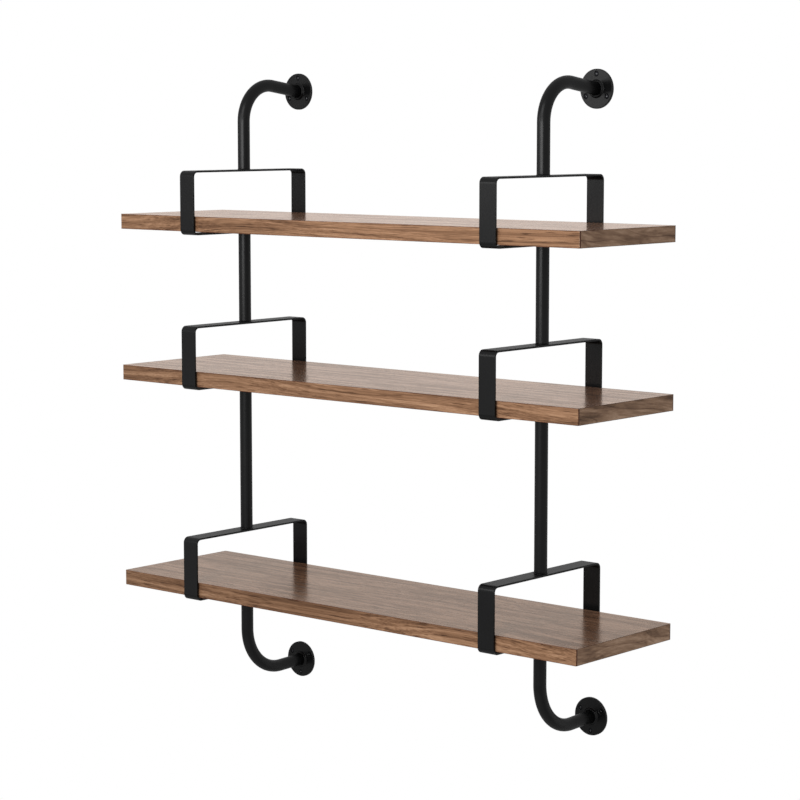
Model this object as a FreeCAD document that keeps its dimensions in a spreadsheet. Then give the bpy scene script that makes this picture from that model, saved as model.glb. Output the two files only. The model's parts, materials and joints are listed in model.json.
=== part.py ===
"""Wall-hung shelving unit: two uprights of bent pipe with flat-bar hoops that carry three veneered shelves.

Frame: X runs along the shelves, Y runs back to the wall, whose face is Y = 0, and Z is up.
The origin is on the wall, midway between the four flanges.
"""
import FreeCAD, Part
import math
import os
import Sketcher

# Driving sizes, in millimetres and degrees.
SIZES = {
    # Shelves, measured over the veneers.
    "shelf_length": 1000.0,
    "shelf_depth": 252.0,
    "board_thickness": 26.2,
    "face_veneer": 0.6,
    "edge_band": 3.0,
    "corner_round": 1.5,
    # Heights: from the top shelf up to the upper flange centres, from shelf top to shelf top, and from the
    # bottom shelf's top down to the lower flange centres.
    "top_rise": 213.5,
    "upper_spacing": 266.0,
    "lower_spacing": 368.0,
    "bottom_drop": 183.5,
    # Uprights.
    "upright_spacing": 657.0,
    "pipe_diameter": 21.3,
    "pipe_wall": 2.0,
    "top_bend_radius": 63.0,
    "top_bend_angle": 98.0,
    "bottom_bend_radius": 81.0,
    "bottom_bend_angle": 92.0,
    # Flat-bar hoops: the bar, the inner radius of its bends, and the room round the shelf and to the wall.
    "bar_width": 32.0,
    "bar_thickness": 3.0,
    "bar_bend_radius": 7.0,
    "hoop_clear_above": 74.5,
    "front_gap": 3.0,
    "back_gap": 19.0,
    "wall_gap": 2.0,
    # Wall flanges. The hole share is how far the holes lie from the collar's foot to the rim.
    "flange_diameter": 64.0,
    "flange_thickness": 4.0,
    "flange_rim_radius": 0.8,
    "collar_height": 3.0,
    "collar_foot_width": 3.4,
    "collar_lip_width": 1.2,
    "collar_clearance": 0.3,
    "wall_hole_share": 0.5328,
    "wall_hole_diameter": 5.0,
    "wall_countersink": 9.0,
    # Shelf fixings: spacers on the lower bar, and countersunk screws through bar and spacer into the board.
    # The socket is measured across its corners.
    "spacer_thickness": 3.0,
    "spacer_diameter": 18.0,
    "screw_offset": 82.0,
    "screw_shank": 4.5,
    "screw_bite": 15.0,
    "screw_hole_clearance": 0.5,
    "pilot_clearance": 0.2,
    "screw_head_diameter": 9.0,
    "screw_socket_width": 3.4,
    "screw_socket_depth": 1.5,
}

WALL_HOLES = 3


class Size:
    """A length or angle together with the sheet expression that gives it."""

    def __init__(self, value, text):
        self.value = value
        self.text = text

    def __add__(self, other):
        other = size_of(other)
        return Size(self.value + other.value, f"({self.text} + {other.text})")

    def __sub__(self, other):
        other = size_of(other)
        return Size(self.value - other.value, f"({self.text} - {other.text})")

    def __mul__(self, other):
        other = size_of(other)
        return Size(self.value * other.value, f"({self.text} * {other.text})")

    def __truediv__(self, other):
        other = size_of(other)
        return Size(self.value / other.value, f"({self.text} / {other.text})")

    def __neg__(self):
        return Size(-self.value, f"(-{self.text})")

    def __abs__(self):
        return Size(abs(self.value), f"abs({self.text})")


def size_of(number):
    """A plain number as a Size."""
    if isinstance(number, Size):
        return number
    return Size(float(number), repr(float(number)))


def tangent(angle):
    return Size(math.tan(math.radians(angle.value)), f"tan({angle.text} * 1 deg)")


def cosine(angle):
    return Size(math.cos(math.radians(angle.value)), f"cos({angle.text} * 1 deg)")


def larger(first, second):
    return Size(max(first.value, second.value), f"max({first.text}; {second.text})")


doc = FreeCAD.newDocument("pipe_shelving_unit")
sheet = doc.addObject("Spreadsheet::Sheet", "dims")
for row, (name, value) in enumerate(SIZES.items(), start=1):
    sheet.set(f"A{row}", name)
    sheet.set(f"B{row}", str(value))
    sheet.setAlias(f"B{row}", name)
doc.recompute()

D = {name: Size(value, f"dims.{name}") for name, value in SIZES.items()}

# Heights of the shelf tops, and of the two outer faces of the hoops measured from a shelf top.
flange_height = (D["top_rise"] + D["upper_spacing"] + D["lower_spacing"] + D["bottom_drop"]) / 2
top_shelf = flange_height - D["top_rise"]
middle_shelf = top_shelf - D["upper_spacing"]
bottom_shelf = middle_shelf - D["lower_spacing"]
hoop_above = D["hoop_clear_above"] + D["bar_thickness"]
hoop_below = D["board_thickness"] + D["spacer_thickness"] + D["bar_thickness"]

# Depths: the hoops go round the shelves, the pipes stand in the middle of the hoops, and the shelf edges
# are counted from the pipe axis.
hoop_clear_depth = D["front_gap"] + D["shelf_depth"] + D["back_gap"]
wall_to_pipe = hoop_clear_depth / 2 + D["bar_thickness"] + D["wall_gap"]
pipe_y = -wall_to_pipe
shelf_front = -(hoop_clear_depth / 2) + D["front_gap"]
shelf_back = shelf_front + D["shelf_depth"]
upright_x = D["upright_spacing"] / 2

# The flanges are alike: the collar clears the pipe that comes in at the greater slope.
pipe_slope = larger(abs(D["top_bend_angle"] - 90), abs(D["bottom_bend_angle"] - 90))
sloping_radius = D["pipe_diameter"] / 2 / cosine(pipe_slope)
collar_bore = sloping_radius + tangent(pipe_slope) * D["collar_height"] + D["collar_clearance"]
collar_foot = collar_bore + D["collar_foot_width"]
flange_radius = D["flange_diameter"] / 2
wall_hole_radius = collar_foot + (flange_radius - collar_foot) * D["wall_hole_share"]

SIDES = {"left": -upright_x, "right": upright_x}
SHELVES = {"top": top_shelf, "middle": middle_shelf, "bottom": bottom_shelf}

parts = []


def bind(item, prop, amount):
    item.setExpression(prop, size_of(amount).text)


def place(item, x, y, z):
    """Puts an object's origin at the given point."""
    for axis, amount in zip("xyz", (x, y, z)):
        bind(item, f"Placement.Base.{axis}", amount)


def turn(item, axis, degrees):
    item.Placement.Rotation = FreeCAD.Rotation(FreeCAD.Vector(*axis), degrees)


def new_body(label):
    body = doc.addObject("PartDesign::Body", label)
    body.Label = label
    parts.append(body)
    return body


def new_sketch(body, role, name):
    sketch = body.newObject("Sketcher::SketchObject", f"{body.Name}_{name}")
    plane = next(item for item in body.Origin.OriginFeatures if item.Role == role)
    sketch.AttachmentSupport = [(plane, "")]
    sketch.MapMode = "FlatFace"
    return sketch


def constrain(sketch, amount, kind, *where):
    """Adds a dimension and ties it to the sheet."""
    index = sketch.addConstraint(Sketcher.Constraint(kind, *where, size_of(amount).value))
    bind(sketch, f"Constraints[{index}]", amount)


def fix_point(sketch, element, end, x, y):
    """Holds one point of a sketch at x and y, either of which may be zero."""
    for kind, amount, axis in (("DistanceX", x, -2), ("DistanceY", y, -1)):
        if size_of(amount).value == 0.0:
            sketch.addConstraint(Sketcher.Constraint("PointOnObject", element, end, axis))
        else:
            constrain(sketch, amount, kind, element, end)


def draw_polygon(sketch, corners):
    """A closed outline of straight lines through the given corners."""
    points = [FreeCAD.Vector(size_of(x).value, size_of(y).value, 0) for x, y in corners]
    lines = [sketch.addGeometry(Part.LineSegment(point, points[(n + 1) % len(points)]))
             for n, point in enumerate(points)]
    for n, line in enumerate(lines):
        sketch.addConstraint(Sketcher.Constraint("Coincident", line, 2, lines[(n + 1) % len(lines)], 1))
        fix_point(sketch, line, 1, *corners[n])


def draw_rectangle(sketch, left, right, low, high):
    draw_polygon(sketch, [(left, low), (right, low), (right, high), (left, high)])


def draw_circle(sketch, x, y, diameter):
    centre = FreeCAD.Vector(size_of(x).value, size_of(y).value, 0)
    circle = sketch.addGeometry(Part.Circle(centre, FreeCAD.Vector(0, 0, 1), diameter.value / 2))
    fix_point(sketch, circle, 3, x, y)
    constrain(sketch, diameter, "Diameter", circle)


def pad(body, sketch, length, symmetric=False, reverse=False):
    feature = body.newObject("PartDesign::Pad", f"{sketch.Name}_pad")
    feature.Profile = sketch
    feature.SideType = "Symmetric" if symmetric else "One side"
    feature.Reversed = reverse
    bind(feature, "Length", length)
    doc.recompute()
    return feature


def pocket(body, sketch, length=None, symmetric=False, reverse=False):
    """Cuts a sketch through the solid, or to a depth, and makes sure that something was cut."""
    before = body.Shape.Volume
    feature = body.newObject("PartDesign::Pocket", f"{sketch.Name}_pocket")
    feature.Profile = sketch
    feature.SideType = "Symmetric" if symmetric else "One side"
    feature.Reversed = reverse
    if length is None:
        feature.Type = "ThroughAll"
    else:
        bind(feature, "Length", length)
    doc.recompute()
    if body.Shape.Volume >= before:
        raise RuntimeError(f"{feature.Name} cut nothing")
    return feature


def dress_edges(body, kind, prop, amount, chosen):
    """Rounds or chamfers those edges of the body that the test accepts."""
    base = body.Tip
    edges = [f"Edge{n}" for n, edge in enumerate(base.Shape.Edges, start=1) if chosen(edge)]
    if not edges:
        raise RuntimeError(f"{body.Name} has no edge for its {kind}")
    feature = body.newObject(f"PartDesign::{kind}", f"{body.Name}_{kind.lower()}_{len(body.Group)}")
    feature.Base = (base, edges)
    bind(feature, prop, amount)
    doc.recompute()
    return feature


def same(first, second):
    return abs(first - second) < 1e-6


def runs_along_x(edge):
    first, last = edge.firstVertex().Point, edge.lastVertex().Point
    return same(first.y, last.y) and same(first.z, last.z)


def runs_along_z(edge):
    first, last = edge.firstVertex().Point, edge.lastVertex().Point
    return same(first.x, last.x) and same(first.y, last.y)


def is_circle(edge, radius, axis, level):
    """True for a full circle of that radius whose centre has the given coordinate along an axis."""
    curve = edge.Curve
    if not isinstance(curve, Part.Circle) or not edge.isClosed():
        return False
    return same(curve.Radius, radius) and same(getattr(curve.Center, axis), level)


def make_hoop(side, shelf):
    """A closed loop of flat bar with bent corners, drilled and countersunk in its lower run for the screws.

    Its local origin is the centre of the clear space inside.
    """
    body = new_body(f"{side}_{shelf}_hoop")
    half_depth = hoop_clear_depth / 2
    clear_height = D["hoop_clear_above"] + D["board_thickness"] + D["spacer_thickness"]
    half_height = clear_height / 2
    outer_depth = half_depth + D["bar_thickness"]
    outer_height = half_height + D["bar_thickness"]

    outline = new_sketch(body, "YZ_Plane", "outline")
    draw_rectangle(outline, -outer_depth, outer_depth, -outer_height, outer_height)
    pad(body, outline, D["bar_width"], symmetric=True)
    dress_edges(body, "Fillet", "Radius", D["bar_bend_radius"] + D["bar_thickness"], runs_along_x)

    window = new_sketch(body, "YZ_Plane", "window")
    draw_rectangle(window, -half_depth, half_depth, -half_height, half_height)
    pocket(body, window, D["bar_width"] * 2, symmetric=True)

    def inside_corner(edge):
        point = edge.firstVertex().Point
        return (runs_along_x(edge) and same(abs(point.y), half_depth.value)
                and same(abs(point.z), half_height.value))

    dress_edges(body, "Fillet", "Radius", D["bar_bend_radius"], inside_corner)

    holes = new_sketch(body, "XY_Plane", "screw_holes")
    hole = D["screw_shank"] + D["screw_hole_clearance"]
    for offset in (-D["screw_offset"], D["screw_offset"]):
        draw_circle(holes, 0, offset, hole)
    pocket(body, holes)

    def hole_mouth(edge):
        return is_circle(edge, hole.value / 2, "z", -outer_height.value)

    dress_edges(body, "Chamfer", "Size", (D["screw_head_diameter"] - D["screw_shank"]) / 2, hole_mouth)
    place(body, SIDES[side], pipe_y, SHELVES[shelf] + D["hoop_clear_above"] - half_height)


def draw_pipe_section(body, role="XY_Plane"):
    section = new_sketch(body, role, "section")
    draw_circle(section, 0, 0, D["pipe_diameter"])
    draw_circle(section, 0, 0, D["pipe_diameter"] - D["pipe_wall"] * 2)
    return section


def make_straight_pipe(label, side, foot, head):
    """A plain length of pipe that stands on one hoop and carries the next."""
    body = new_body(label)
    pad(body, draw_pipe_section(body), head - foot)
    place(body, SIDES[side], pipe_y, foot)


def make_bent_pipe(label, side, seat, flange_rise, radius, angle, downwards):
    """A pipe that leaves its hoop square, bends back past square and runs to its flange.

    Its local origin is on the hoop's bar, with Z away from the hoop. The run is made long and then trimmed
    to the flange's face, so that the end lies flat on the flange although the run slopes.
    """
    body = new_body(label)
    slope = tangent(angle - 90)
    overrun = D["pipe_diameter"] / 2
    reach = wall_to_pipe - D["flange_thickness"]
    end_y = reach + overrun
    end_z = flange_rise - slope * overrun

    turned = math.radians(angle.value)
    bend_end = radius * (size_of(1) - cosine(angle))
    bend_y = bend_end.value
    bend_rise = radius.value * math.sin(turned)
    bend_start = flange_rise.value + (reach.value - bend_y) * slope.value - bend_rise

    path = new_sketch(body, "YZ_Plane", "path")
    foot = path.addGeometry(Part.LineSegment(FreeCAD.Vector(0, 0, 0), FreeCAD.Vector(0, bend_start, 0)))
    circle = Part.Circle(FreeCAD.Vector(radius.value, bend_start, 0), FreeCAD.Vector(0, 0, 1), radius.value)
    bend = path.addGeometry(Part.ArcOfCircle(circle, math.pi - turned, math.pi))
    run = path.addGeometry(Part.LineSegment(FreeCAD.Vector(bend_y, bend_start + bend_rise, 0),
                                            FreeCAD.Vector(end_y.value, end_z.value, 0)))
    path.addConstraint(Sketcher.Constraint("Coincident", foot, 1, -1, 1))
    path.addConstraint(Sketcher.Constraint("Vertical", foot))
    path.addConstraint(Sketcher.Constraint("Tangent", foot, 2, bend, 2))
    path.addConstraint(Sketcher.Constraint("Tangent", bend, 1, run, 1))
    constrain(path, radius, "Radius", bend)
    fix_point(path, run, 2, end_y, end_z)
    constrain(path, bend_end, "DistanceX", bend, 1)

    pipe = body.newObject("PartDesign::AdditivePipe", f"{label}_sweep")
    pipe.Profile = draw_pipe_section(body)
    pipe.Spine = path
    doc.recompute()

    trim = new_sketch(body, "YZ_Plane", "trim")
    draw_rectangle(trim, reach, end_y + overrun, flange_rise - D["pipe_diameter"],
                   flange_rise + D["pipe_diameter"])
    pocket(body, trim, D["pipe_diameter"] * 2, symmetric=True)
    if downwards:
        turn(body, (0, 1, 0), 180)
    place(body, SIDES[side], pipe_y, seat)


def make_flange(label, side, height, upside_down):
    """A turned disc with a low collar round the pipe's end and three countersunk holes.

    Its local origin is on the wall, and its face looks along local +Y.
    """
    body = new_body(label)
    thickness = D["flange_thickness"]
    lip = thickness + D["collar_height"]
    profile = new_sketch(body, "YZ_Plane", "profile")
    draw_polygon(profile, [
        (0, 0),
        (thickness, 0),
        (thickness, collar_bore),
        (lip, collar_bore),
        (lip, collar_bore + D["collar_lip_width"]),
        (thickness, collar_foot),
        (thickness, flange_radius),
        (0, flange_radius),
    ])
    disc = body.newObject("PartDesign::Revolution", f"{label}_turned")
    disc.Profile = profile
    disc.ReferenceAxis = (profile, ["H_Axis"])
    disc.Angle = 360
    doc.recompute()

    def front_rim(edge):
        return is_circle(edge, flange_radius.value, "y", thickness.value)

    dress_edges(body, "Fillet", "Radius", D["flange_rim_radius"], front_rim)

    hole = new_sketch(body, "XZ_Plane", "wall_hole")
    draw_circle(hole, 0, wall_hole_radius, D["wall_hole_diameter"])
    drilled = pocket(body, hole)

    def hole_mouth(edge):
        return is_circle(edge, D["wall_hole_diameter"].value / 2, "y", thickness.value)

    sunk = dress_edges(body, "Chamfer", "Size", (D["wall_countersink"] - D["wall_hole_diameter"]) / 2,
                       hole_mouth)
    ring = body.newObject("PartDesign::PolarPattern", f"{label}_holes")
    ring.Originals = [drilled, sunk]
    ring.Axis = (profile, ["H_Axis"])
    ring.Angle = 360
    ring.Occurrences = WALL_HOLES
    body.Tip = ring
    doc.recompute()
    turn(body, (1, 0, 0) if upside_down else (0, 0, 1), 180)
    place(body, SIDES[side], 0, height)


def make_panel(label, shelf, x_range, y_range, z_range, drilled=None, eased=False):
    """A flat piece of a shelf, with its local origin over the pipe axis at the shelf's top.

    An eased piece has the shelf's upright corners rounded where it reaches them.
    """
    body = new_body(label)
    face = new_sketch(body, "XY_Plane", "face")
    draw_rectangle(face, *x_range, *y_range)
    low, high = z_range
    bind(face, "AttachmentOffset.Base.z", low)
    pad(body, face, high - low)

    def shelf_corner(edge):
        point = edge.firstVertex().Point
        at_end = same(abs(point.x), D["shelf_length"].value / 2)
        at_front_or_back = same(point.y, shelf_front.value) or same(point.y, shelf_back.value)
        return runs_along_z(edge) and at_end and at_front_or_back

    if eased:
        dress_edges(body, "Fillet", "Radius", D["corner_round"], shelf_corner)
    if drilled is not None:
        holes = new_sketch(body, "XY_Plane", "pilot_holes")
        bind(holes, "AttachmentOffset.Base.z", low)
        for x in SIDES.values():
            for y in (-D["screw_offset"], D["screw_offset"]):
                draw_circle(holes, x, y, D["screw_shank"] + D["pilot_clearance"])
        pocket(body, holes, drilled, reverse=True)
    place(body, 0, pipe_y, SHELVES[shelf])


def make_shelf(shelf):
    """A veneered board: core, long edge bands, end bands fitted between them, and the two face veneers."""
    half = D["shelf_length"] / 2
    band = D["edge_band"]
    under = -D["board_thickness"]
    core_low = under + D["face_veneer"]
    core_high = -D["face_veneer"]
    full_x = (-half, half)
    full_y = (shelf_front, shelf_back)
    core_x = (-half + band, half - band)
    core_y = (shelf_front + band, shelf_back - band)
    core_z = (core_low, core_high)
    bite = D["screw_bite"] - D["face_veneer"]
    make_panel(f"{shelf}_shelf_core", shelf, core_x, core_y, core_z, drilled=bite)
    make_panel(f"{shelf}_shelf_front_band", shelf, full_x, (shelf_front, shelf_front + band), core_z,
               eased=True)
    make_panel(f"{shelf}_shelf_back_band", shelf, full_x, (shelf_back - band, shelf_back), core_z, eased=True)
    make_panel(f"{shelf}_shelf_left_band", shelf, (-half, -half + band), core_y, core_z)
    make_panel(f"{shelf}_shelf_right_band", shelf, (half - band, half), core_y, core_z)
    make_panel(f"{shelf}_shelf_top_veneer", shelf, full_x, full_y, (core_high, size_of(0)), eased=True)
    make_panel(f"{shelf}_shelf_bottom_veneer", shelf, full_x, full_y, (under, core_low),
               drilled=D["face_veneer"], eased=True)


def fixing_points():
    """Every place where a screw goes up through a hoop: its name, X, Y and the underside of the shelf."""
    for shelf, top in SHELVES.items():
        for side, x in SIDES.items():
            for row, offset in (("front", -D["screw_offset"]), ("back", D["screw_offset"])):
                yield f"{side}_{shelf}_{row}", x, pipe_y + offset, top - D["board_thickness"]


def make_group(label, members):
    group = doc.addObject("Part::Compound", label)
    group.Label = label
    group.Links = members
    parts.append(group)


def make_spacers():
    """A ring between the lower bar and the board at each screw."""
    rings = []
    for name, x, y, underside in fixing_points():
        blank = doc.addObject("Part::Cylinder", f"spacer_blank_{name}")
        bind(blank, "Radius", D["spacer_diameter"] / 2)
        bind(blank, "Height", D["spacer_thickness"])
        bore = doc.addObject("Part::Cylinder", f"spacer_bore_{name}")
        bind(bore, "Radius", (D["screw_shank"] + D["screw_hole_clearance"]) / 2)
        bind(bore, "Height", D["spacer_thickness"])
        ring = doc.addObject("Part::Cut", f"spacer_{name}")
        ring.Base = blank
        ring.Tool = bore
        place(ring, x, y, underside - D["spacer_thickness"])
        rings.append(ring)
    make_group("shelf_spacers", rings)


def make_screws():
    """A countersunk socket screw from under each lower bar up into the board.

    Its local origin is on the bar's underside. The head lies inside it by half the hole's clearance, where
    its cone meets the bar's countersink.
    """
    seat = D["spacer_thickness"] + D["bar_thickness"]
    sunk = D["screw_hole_clearance"] / 2
    cone = (D["screw_head_diameter"] - D["screw_shank"]) / 2
    screws = []
    for name, x, y, underside in fixing_points():
        head = doc.addObject("Part::Cone", f"screw_head_{name}")
        bind(head, "Radius1", D["screw_head_diameter"] / 2)
        bind(head, "Radius2", D["screw_shank"] / 2)
        bind(head, "Height", cone)
        place(head, 0, 0, sunk)
        shank = doc.addObject("Part::Cylinder", f"screw_shank_{name}")
        bind(shank, "Radius", D["screw_shank"] / 2)
        bind(shank, "Height", seat + D["screw_bite"] - D["pilot_clearance"] - sunk - cone)
        place(shank, 0, 0, sunk + cone)
        whole = doc.addObject("Part::Fuse", f"screw_blank_{name}")
        whole.Base = head
        whole.Tool = shank
        socket = doc.addObject("Part::Prism", f"screw_socket_{name}")
        socket.Polygon = 6
        bind(socket, "Circumradius", D["screw_socket_width"] / 2)
        bind(socket, "Height", D["screw_socket_depth"] + sunk)
        screw = doc.addObject("Part::Cut", f"screw_{name}")
        screw.Base = whole
        screw.Tool = socket
        place(screw, x, y, underside - seat)
        screws.append(screw)
    make_group("shelf_screws", screws)


for side in SIDES:
    top_seat = top_shelf + hoop_above
    bottom_seat = bottom_shelf - hoop_below
    make_bent_pipe(f"{side}_top_bent_pipe", side, top_seat, flange_height - top_seat,
                   D["top_bend_radius"], D["top_bend_angle"], downwards=False)
    make_straight_pipe(f"{side}_upper_pipe", side, middle_shelf + hoop_above, top_shelf - hoop_below)
    make_straight_pipe(f"{side}_lower_pipe", side, bottom_shelf + hoop_above, middle_shelf - hoop_below)
    make_bent_pipe(f"{side}_bottom_bent_pipe", side, bottom_seat, bottom_seat + flange_height,
                   D["bottom_bend_radius"], D["bottom_bend_angle"], downwards=True)
    make_flange(f"{side}_top_flange", side, flange_height, upside_down=False)
    make_flange(f"{side}_bottom_flange", side, -flange_height, upside_down=True)
    for shelf in SHELVES:
        make_hoop(side, shelf)
for shelf in SHELVES:
    make_shelf(shelf)
make_spacers()
make_screws()
doc.recompute()

for item in doc.Objects:
    if "Invalid" in item.State or "Error" in item.State:
        raise RuntimeError(f"{item.Label} did not recompute: {item.State}")
for part in parts:
    if part.Shape.isNull() or not part.Shape.isValid():
        raise RuntimeError(f"{part.Label} has no valid shape")

os.makedirs("parts", exist_ok=True)
for part in parts:
    part.Shape.exportStep(f"parts/{part.Label}.step")
    box = part.Shape.BoundBox
    print(f"{part.Label}: {len(part.Shape.Solids)} solid(s), {part.Shape.Volume:.0f} mm3,",
          f"{box.XLength:.1f} x {box.YLength:.1f} x {box.ZLength:.1f}")
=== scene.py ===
"""Looks of the wall-hung pipe shelving unit: materials, wall screws, weld beads, light and camera.

Lengths are metres in the part's frame: X along the shelves, Y back to the wall, Z up.
"""

import json
import math

import bmesh
import bpy
from mathutils import Matrix, Vector


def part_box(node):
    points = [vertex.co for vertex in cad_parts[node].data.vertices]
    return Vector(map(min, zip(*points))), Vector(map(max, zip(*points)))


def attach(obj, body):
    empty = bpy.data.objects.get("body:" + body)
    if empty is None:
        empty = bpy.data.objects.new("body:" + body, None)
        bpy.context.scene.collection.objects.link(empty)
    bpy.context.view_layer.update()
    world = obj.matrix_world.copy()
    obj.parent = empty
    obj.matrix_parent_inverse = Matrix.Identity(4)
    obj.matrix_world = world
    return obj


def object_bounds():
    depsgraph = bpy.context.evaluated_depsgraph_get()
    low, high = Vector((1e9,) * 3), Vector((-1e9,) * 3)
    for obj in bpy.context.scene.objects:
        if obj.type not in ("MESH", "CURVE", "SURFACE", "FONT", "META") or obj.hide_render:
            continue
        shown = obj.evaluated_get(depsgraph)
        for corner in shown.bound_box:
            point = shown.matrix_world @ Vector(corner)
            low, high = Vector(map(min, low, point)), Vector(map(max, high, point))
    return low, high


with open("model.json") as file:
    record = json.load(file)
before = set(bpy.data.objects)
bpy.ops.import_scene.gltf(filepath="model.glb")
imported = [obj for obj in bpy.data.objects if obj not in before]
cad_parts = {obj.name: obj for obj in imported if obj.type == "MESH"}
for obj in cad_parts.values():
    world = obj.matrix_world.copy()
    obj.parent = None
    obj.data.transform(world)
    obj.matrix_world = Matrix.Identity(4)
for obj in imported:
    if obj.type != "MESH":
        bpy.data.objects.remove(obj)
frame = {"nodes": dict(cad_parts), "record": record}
cad_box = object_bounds()
nodes = frame["nodes"]

SIDES = ("left", "right")
ENDS = ("top", "bottom")
SHELVES = ("top", "middle", "bottom")

# The camera, fitted to the photograph: degrees, metres and millimetres.
CAMERA_AZIMUTH = 40.785
CAMERA_ELEVATION = 6.652
CAMERA_DISTANCE = 4.021
CAMERA_TARGET = Vector((0.0377, -0.1494, 0.0027))
CAMERA_LENS = 108.73
SENSOR_WIDTH = 36.0

# Light: a wide soft panel in front, another high above it, a small one to the left that shows in the upper
# flanges and bars, and an even fill from all round.
# Each panel has its direction in degrees, its distance, width and height in metres, and its power in watts.
PANELS = {
    "front_panel": (9.0, 7.5, 3.0, 2.4, 0.6, 60.0),
    "high_panel": (5.0, 35.0, 2.8, 1.6, 1.2, 27.0),
    "left_panel": (-33.0, 16.0, 2.6, 1.0, 0.7, 10.0),
}
FILL_STRENGTH = 0.30

# The floor, outside the photograph's view: its distance below the unit, its radius, how far forward its
# middle lies, the share of the radius where it starts to fade out, and a glow that only the camera and
# reflections see.
FLOOR_DROP = 1.15
FLOOR_RADIUS = 4.8
FLOOR_FORWARD = 2.4
FLOOR_FADE_START = 0.6
FLOOR_GLOW = 0.2
FLOOR_STEPS = 96

# The range that most values of a noise lie in.
NOISE_RANGE = (0.3, 0.7)

# Walnut: its colours from the darkest marks to the palest wood, each with its place on the scale of tones.
WALNUT_TONES = (
    (0.05, (0.085, 0.045, 0.028)),
    (0.32, (0.195, 0.112, 0.071)),
    (0.56, (0.330, 0.203, 0.135)),
    (0.85, (0.510, 0.343, 0.246)),
)
END_GRAIN_COLOUR = (0.070, 0.022, 0.014)
# Places for a dash or a pore in a metre along the grain and, twice, across it.
DASHES_PER_METRE = (24.0, 560.0, 560.0)
PORES_PER_METRE = (70.0, 1900.0, 1900.0)
PORE_WEIGHT = 0.1
# The heights between which the boards' painted shade deepens downwards.
FADE_FROM = 0.25
FADE_TO = -0.15

# Wall screws, sunk in the flanges' countersinks, where the rim of the head clears the cone by 0.05 mm.
FLANGE_THICKNESS = 0.004
WALL_HOLE_CIRCLE = 0.048
WALL_HOLES = 3
SCREW_HEAD_DIAMETER = 0.0074
SCREW_SHANK_DIAMETER = 0.0040
SCREW_SET_BACK = 0.00065
SCREW_DOME = 0.0001
# The radius of the wall screws' bright middle, rubbed by the driver and a painted glint; the head round it is
# painted nearly black as shade in the countersink.
SCREW_RUBBED_GLINT_RADIUS = 0.0016
SCREW_FACE_Y = SCREW_SET_BACK - FLANGE_THICKNESS
# Rings of points on the head's face as shares of its radius, closer together over the recess.
SCREW_FACE_SHARES = (0.03, 0.10, 0.17, 0.24, 0.31, 0.38, 0.45, 0.52, 0.58, 0.66, 0.8, 0.93, 1.0)
SCREW_STEPS = 64
# How far the first screw of a flange is turned, and each later one from the one before it, in radians.
SCREW_FIRST_SPIN = 0.4
SCREW_NEXT_SPIN = 1.1
RECESS_REACH = 0.0019
RECESS_WIDTH = 0.0010
RECESS_DEPTH = 0.0011
RECESS_SIDE_SLOPE = 0.0002
RECESS_END_SLOPE = 0.0003

# Weld beads, where the pipes meet the bars. Their profile's points are shares of the leg, outwards and along
# the pipe.
PIPE_RADIUS = 0.01065
BEAD_LEG = 0.0016
BEAD_PROFILE = ((0.0, 1.0), (0.22, 0.42), (0.42, 0.22), (1.0, 0.0), (0.0, 0.0))
BEAD_STEPS = 204
BEAD_RIPPLES = 34
BEAD_SWELLS = 3
BEAD_RIPPLE = 0.07


def set_inputs(tree, node, inputs):
    """Sets a node's inputs, given by name or number: a socket is linked, and anything else is the value."""
    for name, value in inputs.items():
        if isinstance(value, bpy.types.NodeSocket):
            tree.links.new(value, node.inputs[name])
        else:
            node.inputs[name].default_value = value


def add_node(tree, kind, inputs=None, **settings):
    """Adds a node with its properties and its inputs."""
    node = tree.nodes.new(kind)
    for name, value in settings.items():
        setattr(node, name, value)
    set_inputs(tree, node, inputs or {})
    return node


def new_material(name):
    """An empty material with its node tree, its shader and the object's own coordinates."""
    material = bpy.data.materials.new(name)
    material.use_nodes = True
    tree = material.node_tree
    tree.nodes.clear()
    shader = add_node(tree, "ShaderNodeBsdfPrincipled")
    add_node(tree, "ShaderNodeOutputMaterial", {"Surface": shader.outputs["BSDF"]})
    place = add_node(tree, "ShaderNodeTexCoord").outputs["Object"]
    return material, tree, shader, place


def stretch(tree, place, scale):
    """Coordinates scaled along each axis."""
    return add_node(tree, "ShaderNodeMapping", {"Vector": place, "Scale": scale}).outputs[0]


def rotate(tree, place, angles):
    """Coordinates turned about the three axes, by angles in radians."""
    return add_node(tree, "ShaderNodeMapping", {"Vector": place, "Rotation": angles}).outputs[0]


def off_origin(tree, place):
    """How far a place is from the origin."""
    return add_node(tree, "ShaderNodeVectorMath", {0: place}, operation="LENGTH").outputs["Value"]


def noise(tree, place, scale, detail=2.0, roughness=0.5):
    """Noise between zero and one."""
    inputs = {"Vector": place, "Scale": scale, "Detail": detail, "Roughness": roughness}
    return add_node(tree, "ShaderNodeTexNoise", inputs).outputs[0]


def remap(tree, value, low, high, new_low=0.0, new_high=1.0):
    """A value between low and high taken smoothly to the new range, and held there outside it."""
    inputs = {0: value, 1: low, 2: high, 3: new_low, 4: new_high}
    return add_node(tree, "ShaderNodeMapRange", inputs, interpolation_type="SMOOTHSTEP").outputs[0]


def calculate(tree, operation, first, second=0.0):
    """The result of one operation on two numbers, or on the first alone."""
    return add_node(tree, "ShaderNodeMath", {0: first, 1: second}, operation=operation).outputs[0]


def weigh(tree, middle, shares):
    """The middle value plus each noise's departure from one half, times its weight."""
    total = middle
    for value, weight in shares:
        part = calculate(tree, "MULTIPLY", calculate(tree, "SUBTRACT", value, 0.5), weight)
        total = calculate(tree, "ADD", part, total)
    return total


def blend(tree, factor, first, second, mode="MIX"):
    """A mix of two colours, each a socket or three linear numbers."""
    first, second = (c if isinstance(c, bpy.types.NodeSocket) else (*c, 1.0) for c in (first, second))
    inputs = {0: factor, 6: first, 7: second}
    return add_node(tree, "ShaderNodeMix", inputs, data_type="RGBA", blend_type=mode).outputs[2]


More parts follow.
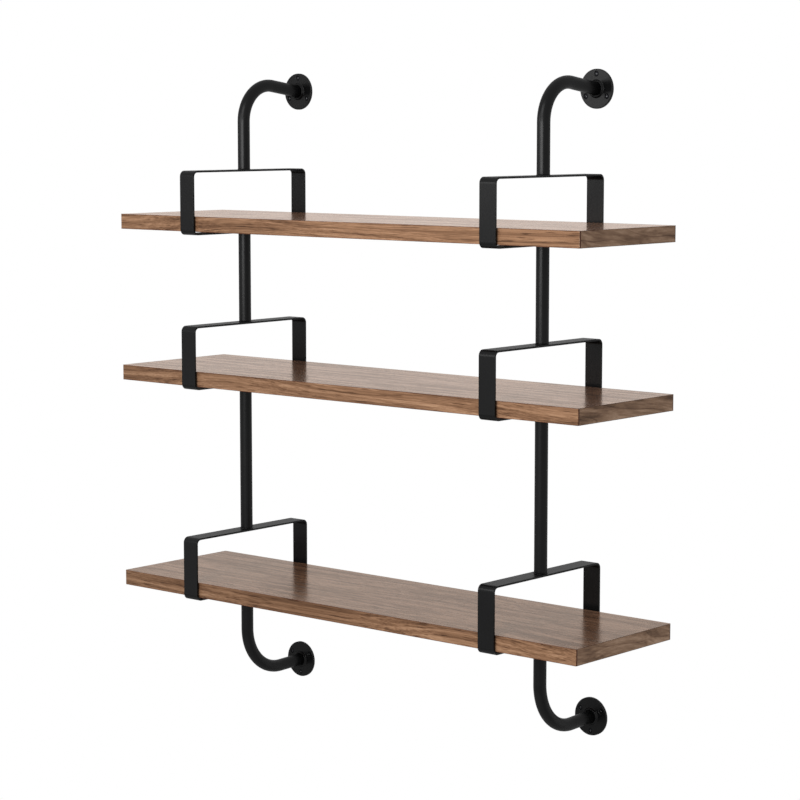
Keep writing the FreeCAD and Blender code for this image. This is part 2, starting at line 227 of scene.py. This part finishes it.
def bump(tree, height, strength, depth, base=None):
    """The surface's direction with relief from a height of zero to one, over a depth in metres."""
    inputs = {"Strength": strength, "Distance": depth, "Height": height}
    if base is not None:
        inputs["Normal"] = base
    return add_node(tree, "ShaderNodeBump", inputs).outputs[0]


def powder_coat(name, edge_colour, edge_round):
    """Satin black powder coat: a fine orange-peel skin in faint patches, thinner at the edges and paler
    there, as wear and as painted highlight.

    The edges look rounded to the radius edge_round.
    """
    black = (0.0020, 0.0020, 0.0022)
    darker, paler = 0.8, 1.2
    patch_scale = 22.0
    peel_scale = 900.0
    flat_likeness, edge_likeness = 0.995, 0.85
    edge_share = 0.35
    material, tree, shader, place = new_material(name)
    rounded = add_node(tree, "ShaderNodeBevel", {"Radius": edge_round}, samples=6).outputs[0]
    flat = add_node(tree, "ShaderNodeNewGeometry").outputs["Normal"]
    likeness = add_node(tree, "ShaderNodeVectorMath", {0: rounded, 1: flat}, operation="DOT_PRODUCT")
    on_edge = remap(tree, likeness.outputs["Value"], flat_likeness, edge_likeness)
    # The paler edges are partly wear and partly a painted highlight along the arrises.
    edge_wear_and_highlight = calculate(tree, "MULTIPLY", on_edge, edge_share)
    patches = remap(tree, noise(tree, place, patch_scale, 3.0), *NOISE_RANGE)
    tone = blend(tree, patches, [c * darker for c in black], [c * paler for c in black])
    peel = noise(tree, place, peel_scale)
    surface = bump(tree, peel, 0.2, 0.0001, rounded)
    set_inputs(tree, shader, {
        "Base Color": blend(tree, edge_wear_and_highlight, tone, edge_colour),
        "Roughness": remap(tree, peel, *NOISE_RANGE, 0.46, 0.56),
        "Normal": surface,
        "Specular IOR Level": 0.03,
        "Coat Weight": 0.150,
        "Coat Roughness": 0.265,
        "Coat IOR": 1.7,
        "Coat Normal": surface,
    })
    return material


def swaying_grain(tree, place, sway, sway_length):
    """Coordinates whose X follows a grain that sways by up to about a third of sway over each sway_length."""
    sways_across = 9.0
    wander = noise(tree, stretch(tree, place, (1 / sway_length, sways_across, sways_across)), 1.0, 0.0)
    drift = calculate(tree, "MULTIPLY", calculate(tree, "SUBTRACT", wander, 0.5), sway)
    moved = add_node(tree, "ShaderNodeCombineXYZ", {"Y": drift, "Z": drift}).outputs[0]
    return add_node(tree, "ShaderNodeVectorMath", {0: place, 1: moved}, operation="ADD").outputs[0]


def streaks(tree, grain, length, width, detail):
    """Noise drawn out along the grain, in streaks of about this length and width."""
    return noise(tree, stretch(tree, grain, (1 / length, 1 / width, 1 / width)), 1.0, detail)


def growth_lines(tree, grain, length, width):
    """One on thin lines along the grain, where broad streaks cross their middle value, and zero between."""
    line_breadth = 0.035
    off_middle = calculate(tree, "SUBTRACT", streaks(tree, grain, length, width, 0.0), 0.5)
    return remap(tree, calculate(tree, "ABSOLUTE", off_middle), line_breadth, 0.0)


def walnut_colour(tree, tone, brightness, warmth):
    """The colour of the wood for each tone from zero to one. A warmth below one makes it greyer."""
    ramp = add_node(tree, "ShaderNodeValToRGB", {0: tone})
    elements = ramp.color_ramp.elements
    while len(elements) < len(WALNUT_TONES):
        elements.new(0.5)
    for element, (position, colour) in zip(elements, WALNUT_TONES):
        element.position = position
        red, green, blue = (c * brightness for c in colour)
        element.color = (red, green / warmth, blue / warmth ** 2, 1.0)
    return ramp.outputs[0]


def painted_shade_by_place(tree, place, colour, fade, left_fade):
    """A colour darkened by painted shade where less light falls: to the share fade of its brightness at the
    bottom shelf, and to left_fade at the left end.
    """
    low, high = cad_box
    spot = add_node(tree, "ShaderNodeSeparateXYZ", {0: place}).outputs
    downwards = remap(tree, spot["Z"], FADE_FROM, FADE_TO, 1.0, fade)
    leftwards = remap(tree, spot["X"], high.x, low.x, 1.0, left_fade)
    shade = calculate(tree, "MULTIPLY", downwards, leftwards)
    grey = add_node(tree, "ShaderNodeCombineColor", {0: shade, 1: shade, 2: shade}).outputs[0]
    return blend(tree, 1.0, colour, grey, "MULTIPLY")


def end_grain(tree, axis):
    """One on the faces that show end grain, and zero on the others.

    They are the faces square to the axis, but for Z all faces except those: the cut edges of a face veneer.
    """
    normal = add_node(tree, "ShaderNodeNewGeometry").outputs["Normal"]
    along = add_node(tree, "ShaderNodeSeparateXYZ", {0: normal}).outputs[axis]
    square = remap(tree, calculate(tree, "ABSOLUTE", along), 0.6, 0.9)
    if axis == "Z":
        return calculate(tree, "SUBTRACT", 1.0, square)
    return square


def walnut(name, streak_length, streak_width, sway, sway_length, weights, dashes, lines, brightness,
           warmth=1.0, slant=0.0, grain_along_y=False, dark_ends=None, fade=1.0, left_fade=1.0):
    """Walnut under an amber varnish: streaks drawn out along the grain, with growth lines, dashes and pores.

    The grain runs along X, or along Y for the short ends, and slants by an angle from it. The weights are
    those of the broad, medium and fine streaks, and dashes and lines are the weights of these dark marks.
    Where dark_ends names an axis, end_grain says which faces are dark. The boards carry painted shade where
    less light
    falls: fade and left_fade are the shares of brightness left at the bottom shelf and at the left end.
    """
    pale_tone, dark_tone = 0.75, 0.15
    fibre_height = 0.3
    material, tree, shader, place = new_material(name)
    if grain_along_y:
        straight = rotate(tree, rotate(tree, place, (slant, 0, 0)), (0, 0, -math.pi / 2))
    else:
        straight = rotate(tree, place, (0, slant, 0))
    grain = swaying_grain(tree, straight, sway, sway_length)

    broad = streaks(tree, grain, streak_length * 2.5, streak_width * 3.5, 1.0)
    medium = streaks(tree, grain, streak_length, streak_width, 2.0)
    fibres = streaks(tree, grain, streak_length * 0.3, streak_width * 0.32, 2.0)
    line = growth_lines(tree, grain, streak_length * 1.8, streak_width * 2.2)
    dash = remap(tree, noise(tree, stretch(tree, grain, DASHES_PER_METRE), 1.0, 1.0), 0.58, 0.70)
    pores = remap(tree, noise(tree, stretch(tree, grain, PORES_PER_METRE), 1.0, 1.0), 0.60, 0.68)

    tone = weigh(tree, 0.5, zip((broad, medium, fibres), weights))
    for mark, weight in ((line, lines), (dash, dashes), (pores, PORE_WEIGHT)):
        tone = calculate(tree, "SUBTRACT", tone, calculate(tree, "MULTIPLY", mark, weight))
    # Painted shade: the wood darker towards the bottom shelf and towards the left end.
    colour = painted_shade_by_place(tree, place, walnut_colour(tree, tone, brightness, warmth), fade, left_fade)
    if dark_ends:
        colour = blend(tree, end_grain(tree, dark_ends), colour, END_GRAIN_COLOUR)

    relief = calculate(tree, "SUBTRACT", calculate(tree, "MULTIPLY", fibres, fibre_height), pores)
    set_inputs(tree, shader, {
        "Base Color": colour,
        "Roughness": remap(tree, tone, pale_tone, dark_tone, 0.15, 0.27),
        "Normal": bump(tree, relief, 0.2, 0.00006),
        "Specular IOR Level": 0.125,
        "Coat Weight": 0.35,
        "Coat Roughness": 0.15,
        "Coat IOR": 1.08,
        "Coat Tint": (1.0, 0.71, 0.33, 1.0),
    })
    return material


def fibreboard(name):
    """The raw core of the shelves, pale and speckled, in flat flakes."""
    flatness = 3.0
    speck_scale = 700.0
    material, tree, shader, place = new_material(name)
    flakes = noise(tree, stretch(tree, place, (1.0, 1.0, flatness)), speck_scale, 4.0, 0.7)
    specks = remap(tree, flakes, *NOISE_RANGE)
    set_inputs(tree, shader, {
        "Base Color": blend(tree, specks, (0.36, 0.26, 0.16), (0.58, 0.46, 0.32)),
        "Roughness": remap(tree, specks, 0.0, 1.0, 0.75, 0.9),
        "Normal": bump(tree, specks, 0.3, 0.0001),
    })
    return material


def rubber(name):
    """Matt black spacers with a little dust in the grain."""
    dust_scale = 1200.0
    material, tree, shader, place = new_material(name)
    dust = remap(tree, noise(tree, place, dust_scale, 3.0), 0.45, 0.75)
    set_inputs(tree, shader, {
        "Base Color": blend(tree, dust, (0.016, 0.016, 0.016), (0.05, 0.05, 0.048)),
        "Roughness": remap(tree, dust, 0.0, 1.0, 0.65, 0.85),
        "Normal": bump(tree, dust, 0.3, 0.0001),
    })
    return material


def black_oxide(name, rubbed_glint_radius=None):
    """Darkened screw steel: a dull blue-black skin that is brighter where it is rubbed.

    Given a radius, only that much round the screw's own axis is bright, where the driver rubs it and as a
    painted glint; the rest of the head is nearly black, as painted shade in the countersink.
    """
    rub_scale = 500.0
    material, tree, shader, place = new_material(name)
    rubbed = remap(tree, noise(tree, place, rub_scale, 4.0, 0.65), 0.45, 0.7)
    colour = blend(tree, rubbed, (0.058, 0.058, 0.060), (0.160, 0.160, 0.165))
    if rubbed_glint_radius:
        off_axis = off_origin(tree, stretch(tree, place, (1, 1, 0)))
        # Bright middle: rubbed wear and a painted glint. Nearly black rim: painted shade in the countersink.
        middle = remap(tree, off_axis, rubbed_glint_radius * 1.2, rubbed_glint_radius * 0.8)
        colour = blend(tree, middle, (0.005, 0.005, 0.006), colour)
    set_inputs(tree, shader, {
        "Base Color": colour,
        "Metallic": 1.0,
        "Roughness": remap(tree, rubbed, 0.0, 1.0, 0.34, 0.24),
        "Normal": bump(tree, rubbed, 0.15, 0.00004),
    })
    return material


def make_materials():
    """One material for each slot of the record, one for the flanges and one for the wall screws."""
    return {
        # Both coats have paler edges, partly wear and partly painted highlight; the flanges' edges are
        # rounded wider.
        "black_steel": powder_coat("black_steel", edge_colour=(0.020, 0.020, 0.021), edge_round=0.0007),
        "flange_steel": powder_coat("flange_steel", edge_colour=(0.010, 0.010, 0.011), edge_round=0.0013),
        # The fade and left_fade values below are painted shade: the boards darker towards the bottom shelf
        # and the left end, where less light falls.
        "walnut_face": walnut(
            "walnut_face", streak_length=0.12, streak_width=0.0035, sway=0.05, sway_length=0.35,
            weights=(1.3, 1.0, 1.2), dashes=0.7, lines=0.12, brightness=0.58, dark_ends="Z", fade=0.90),
        "walnut_edge": walnut(
            "walnut_edge", streak_length=0.60, streak_width=0.0018, sway=0.05, sway_length=0.40,
            weights=(1.1, 0.55, 0.8), dashes=0.3, lines=0.12, brightness=0.87, slant=0.008, dark_ends="X",
            fade=0.83, left_fade=0.75),
        # The short ends are paler, partly as their own wood and partly as painted light on this side of the
        # shelves.
        "walnut_end": walnut(
            "walnut_end", streak_length=0.08, streak_width=0.009, sway=0.03, sway_length=0.12,
            weights=(0.8, 1.2, 0.6), dashes=0.05, lines=0.2, brightness=1.14, warmth=0.875, slant=0.12,
            grain_along_y=True),
        "board_core": fibreboard("board_core"),
        "spacer": rubber("spacer"),
        "screw_steel": black_oxide("screw_steel"),
        "wall_screw": black_oxide("wall_screw", SCREW_RUBBED_GLINT_RADIUS),
    }


def dress_nodes(materials):
    """Gives every CAD node the material of its slot, but the flanges a coat of their own."""
    for part in frame["record"]["subparts"]:
        mesh = nodes[part["node"]].data
        mesh.materials.clear()
        kind = "flange_steel" if part["node"].endswith("_flange") else part["material_slot"]
        mesh.materials.append(materials[kind])


def add_piece(name, mesh, material):
    """A new piece of the object, on its only body."""
    piece = bpy.data.objects.new(name, mesh)
    bpy.context.scene.collection.objects.link(piece)
    if not mesh.materials:
        mesh.materials.append(material)
    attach(piece, "root")
    return piece


def join_loops(shape, first, second):
    """Four-sided faces all the way round between two loops of as many points."""
    for number in range(len(first)):
        after = (number + 1) % len(first)
        shape.faces.new((first[number], second[number], second[after], first[after]))


def smooth_mesh(name, shape):
    """The mesh of a closed shape, with its faces turned outwards and shaded smooth."""
    bmesh.ops.recalc_face_normals(shape, faces=shape.faces)
    mesh = bpy.data.meshes.new(name)
    shape.to_mesh(mesh)
    shape.free()
    mesh.shade_smooth()
    return mesh


def turned_mesh(name, radii, height, steps):
    """A closed form round local Z, through a ring of points at each of the radii in turn.

    The function height gives a point's Z from its ring's number, its radius and its angle. A point on the
    axis closes the first ring, and another the last.
    """
    shape = bmesh.new()
    angles = [2 * math.pi * step / steps for step in range(steps)]
    loops = []
    for number, radius in enumerate(radii):
        points = [(radius * math.cos(a), radius * math.sin(a), height(number, radius, a)) for a in angles]
        loops.append([shape.verts.new(point) for point in points])
    for inner, outer in zip(loops, loops[1:]):
        join_loops(shape, inner, outer)
    for number, loop in ((0, loops[0]), (len(radii) - 1, loops[-1])):
        tip = shape.verts.new((0, 0, height(number, 0.0, 0.0)))
        for step in range(steps):
            shape.faces.new((tip, loop[step], loop[(step + 1) % steps]))
    return smooth_mesh(name, shape)


def recess_depth(radius, angle):
    """How deep the cross recess is at a point of the screw's face."""
    x, y = abs(radius * math.cos(angle)), abs(radius * math.sin(angle))
    inside_arm = RECESS_WIDTH / 2 - min(x, y)
    inside_end = RECESS_REACH - max(x, y)
    across = min(1.0, max(0.0, inside_arm / RECESS_SIDE_SLOPE))
    along = min(1.0, max(0.0, inside_end / RECESS_END_SLOPE))
    return RECESS_DEPTH * (across * along)


def screw_mesh():
    """A countersunk screw down from the origin: a domed face with a cross recess, a cone and a shank."""
    head = SCREW_HEAD_DIAMETER / 2
    shank = SCREW_SHANK_DIAMETER / 2
    face_radii = [head * share for share in SCREW_FACE_SHARES]
    under_levels = (shank - head - SCREW_DOME, SCREW_FACE_Y)

    def height(number, radius, angle):
        if number >= len(face_radii):
            return under_levels[number - len(face_radii)]
        return SCREW_DOME * (1 - (radius / head) ** 2) - SCREW_DOME - recess_depth(radius, angle)

    return turned_mesh("wall_screw", face_radii + [shank, shank], height, SCREW_STEPS)


def make_wall_screws(materials):
    """Countersunk screws with a cross recess, one in each flange hole."""
    mesh = screw_mesh()
    facing_front = Matrix.Rotation(math.pi / 2, 4, "X")
    for side in SIDES:
        for end in ENDS:
            low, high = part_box(f"{side}_{end}_flange")
            centre = (low + high) / 2
            for number in range(WALL_HOLES):
                turn = 2 * math.pi * number / WALL_HOLES
                up = math.cos(turn) * (1 if end == "top" else -1)
                spot = Vector((centre.x + math.sin(turn) * WALL_HOLE_CIRCLE / 2, SCREW_FACE_Y,
                               centre.z + up * WALL_HOLE_CIRCLE / 2))
                screw = add_piece(f"{side}_{end}_wall_screw_{number + 1}", mesh, materials["wall_screw"])
                spin = Matrix.Rotation(SCREW_FIRST_SPIN + SCREW_NEXT_SPIN * number, 4, "Z")
                screw.matrix_world = Matrix.Translation(spot) @ facing_front @ spin


def bead_mesh(name, points_up):
    """A fillet weld round a pipe's foot: a closed ring on the plane Z = 0 whose legs ripple a little."""
    upwards = 1 if points_up else -1
    shape = bmesh.new()
    loops = []
    for step in range(BEAD_STEPS):
        angle = 2 * math.pi * step / BEAD_STEPS
        ripple = BEAD_RIPPLE * math.sin(BEAD_RIPPLES * angle)
        swell = BEAD_RIPPLE * math.sin(BEAD_SWELLS * angle)
        leg = BEAD_LEG * (1 + ripple + swell)
        loop = []
        for out, along in BEAD_PROFILE:
            radius = PIPE_RADIUS + leg * out
            point = (radius * math.cos(angle), radius * math.sin(angle), upwards * leg * along)
            loop.append(shape.verts.new(point))
        loops.append(loop)
    for loop, following in zip(loops, loops[1:] + loops[:1]):
        join_loops(shape, loop, following)
    return smooth_mesh(name, shape)


def make_weld_beads(materials):
    """The painted welds between each pipe and the bars that it meets."""
    rising = bead_mesh("rising_bead", points_up=True)
    hanging = bead_mesh("hanging_bead", points_up=False)
    coat = materials["black_steel"]
    for side in SIDES:
        for shelf in SHELVES:
            low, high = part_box(f"{side}_{shelf}_hoop")
            centre = (low + high) / 2
            for mesh, level, where in ((rising, high.z, "upper"), (hanging, low.z, "lower")):
                bead = add_piece(f"{side}_{shelf}_{where}_weld", mesh, coat)
                bead.matrix_world = Matrix.Translation((centre.x, centre.y, level))


def seen_as_background(tree):
    """One for what is seen straight, by a reflection or through something clear, and zero for light."""
    path = add_node(tree, "ShaderNodeLightPath").outputs
    seen = calculate(tree, "MAXIMUM", path["Is Camera Ray"], path["Is Glossy Ray"])
    return calculate(tree, "MAXIMUM", seen, path["Is Transmission Ray"])


def make_floor():
    """A plain pale floor well below the unit, as under a wall-hung shelf, that fades out at its rim."""
    mottle_scale = 3.0
    material, tree, shader, place = new_material("floor")
    mottle = noise(tree, place, mottle_scale, 3.0)
    fade_start = FLOOR_RADIUS * FLOOR_FADE_START
    set_inputs(tree, shader, {
        "Base Color": blend(tree, mottle, (0.78, 0.78, 0.775), (0.82, 0.82, 0.815)),
        "Roughness": 0.8,
        "Alpha": remap(tree, off_origin(tree, place), fade_start, FLOOR_RADIUS, 1.0, 0.0),
        "Emission Color": (1.0, 1.0, 1.0, 1.0),
        "Emission Strength": calculate(tree, "MULTIPLY", seen_as_background(tree), FLOOR_GLOW),
    })
    low = cad_box[0]
    bpy.ops.mesh.primitive_circle_add(vertices=FLOOR_STEPS, radius=FLOOR_RADIUS, fill_type="NGON",
                                      location=(0, -FLOOR_FORWARD, low.z - FLOOR_DROP))
    floor = bpy.context.object
    floor.name = "floor"
    floor.data.materials.append(material)


def direction(azimuth, elevation):
    """The unit vector from the object towards a viewer or lamp: azimuth 0 is in front, 90 at the right."""
    a, e = math.radians(azimuth), math.radians(elevation)
    return Vector((math.sin(a) * math.cos(e), -math.cos(a) * math.cos(e), math.sin(e)))


def make_world():
    """White to the camera and in reflections, and an even grey fill on the surfaces."""
    world = bpy.data.worlds.new("studio")
    bpy.context.scene.world = world
    world.use_nodes = True
    tree = world.node_tree
    tree.nodes.clear()
    strength = remap(tree, seen_as_background(tree), 0.0, 1.0, FILL_STRENGTH, 1.0)
    background = add_node(tree, "ShaderNodeBackground", {"Color": (1, 1, 1, 1), "Strength": strength})
    add_node(tree, "ShaderNodeOutputWorld", {"Surface": background.outputs[0]})


def make_panels():
    """The soft panels, each aimed at the middle of the unit."""
    low, high = cad_box
    centre = (low + high) / 2
    for name, (azimuth, elevation, distance, width, height, power) in PANELS.items():
        lamp = bpy.data.lights.new(name, "AREA")
        lamp.shape = "RECTANGLE"
        lamp.size = width
        lamp.size_y = height
        lamp.energy = power
        panel = bpy.data.objects.new(name, lamp)
        bpy.context.scene.collection.objects.link(panel)
        aim = direction(azimuth, elevation)
        panel.location = centre + aim * distance
        panel.rotation_euler = (-aim).to_track_quat("-Z", "Y").to_euler()


def make_camera():
    """The camera at the photograph's place, aimed at its target."""
    lens = bpy.data.cameras.new("camera")
    lens.sensor_width = SENSOR_WIDTH
    lens.lens = CAMERA_LENS
    camera = bpy.data.objects.new("camera", lens)
    bpy.context.scene.collection.objects.link(camera)
    back = direction(CAMERA_AZIMUTH, CAMERA_ELEVATION)
    camera.location = CAMERA_TARGET + back * CAMERA_DISTANCE
    camera.rotation_euler = (-back).to_track_quat("-Z", "Y").to_euler()
    bpy.context.scene.camera = camera


materials = make_materials()
dress_nodes(materials)
make_wall_screws(materials)
make_weld_beads(materials)
make_floor()
make_world()
make_panels()
make_camera()
bpy.context.scene.view_settings.view_transform = "Standard"
